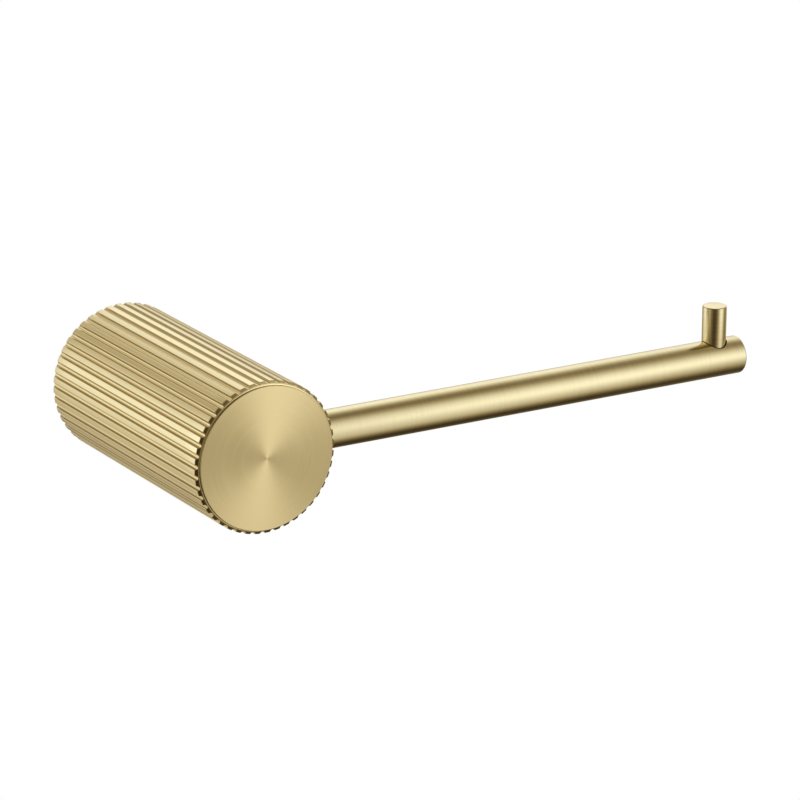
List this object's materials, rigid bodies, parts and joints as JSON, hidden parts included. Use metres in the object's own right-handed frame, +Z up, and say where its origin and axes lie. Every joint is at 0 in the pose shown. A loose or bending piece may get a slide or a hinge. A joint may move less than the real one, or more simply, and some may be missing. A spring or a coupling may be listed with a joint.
{
  "type": "toilet roll holder",
  "caption": "Wall-mounted toilet roll holder: a fluted round post with a flat round cap, a plain side bar for the roll and an upright stop pin at its tip, in satin gold.",
  "frame": {"origin": "the middle of the wall bracket's back face, on the wall and on the post's axis", "axes": "+Y into the wall, -Y out of the wall towards the room, +X along the roll bar from the post, +Z up, the way the stop pin points"},
  "size_m": [0.1923, 0.1071, 0.045],
  "materials": {
    "satin_gold": "satin gold plate, brushed lengthwise along the ribs",
    "turned_gold": "satin gold plate with fine turning marks round the centre",
    "bar_gold": "satin gold plate, brushed round the bar",
    "pin_gold": "satin gold plate, brushed round the pin",
    "machined_brass": "bare turned brass",
    "stainless_steel": "plain stainless fixings",
    "black_oxide_steel": "oiled black oxide",
    "cast_zinc": "die-cast zinc with machined edges",
    "zinc_plated_steel": "bright zinc plate"
  },
  "bodies": {
    "root": {"fluted_sleeve": "satin_gold", "front_cap": "turned_gold", "roll_bar": "bar_gold", "stop_pin": "pin_gold", "bar_hub": "machined_brass", "cap_stud": "stainless_steel", "cap_washer": "stainless_steel", "cap_nut": "stainless_steel", "bar_stud": "stainless_steel", "bar_lock_washer": "stainless_steel", "bar_lock_screw": "black_oxide_steel", "sleeve_grub_screw": "black_oxide_steel", "wall_bracket": "cast_zinc", "wall_screw_left": "zinc_plated_steel", "wall_screw_right": "zinc_plated_steel", "wall_washer_left": "zinc_plated_steel", "wall_washer_right": "zinc_plated_steel"}
  },
  "joints": []
}
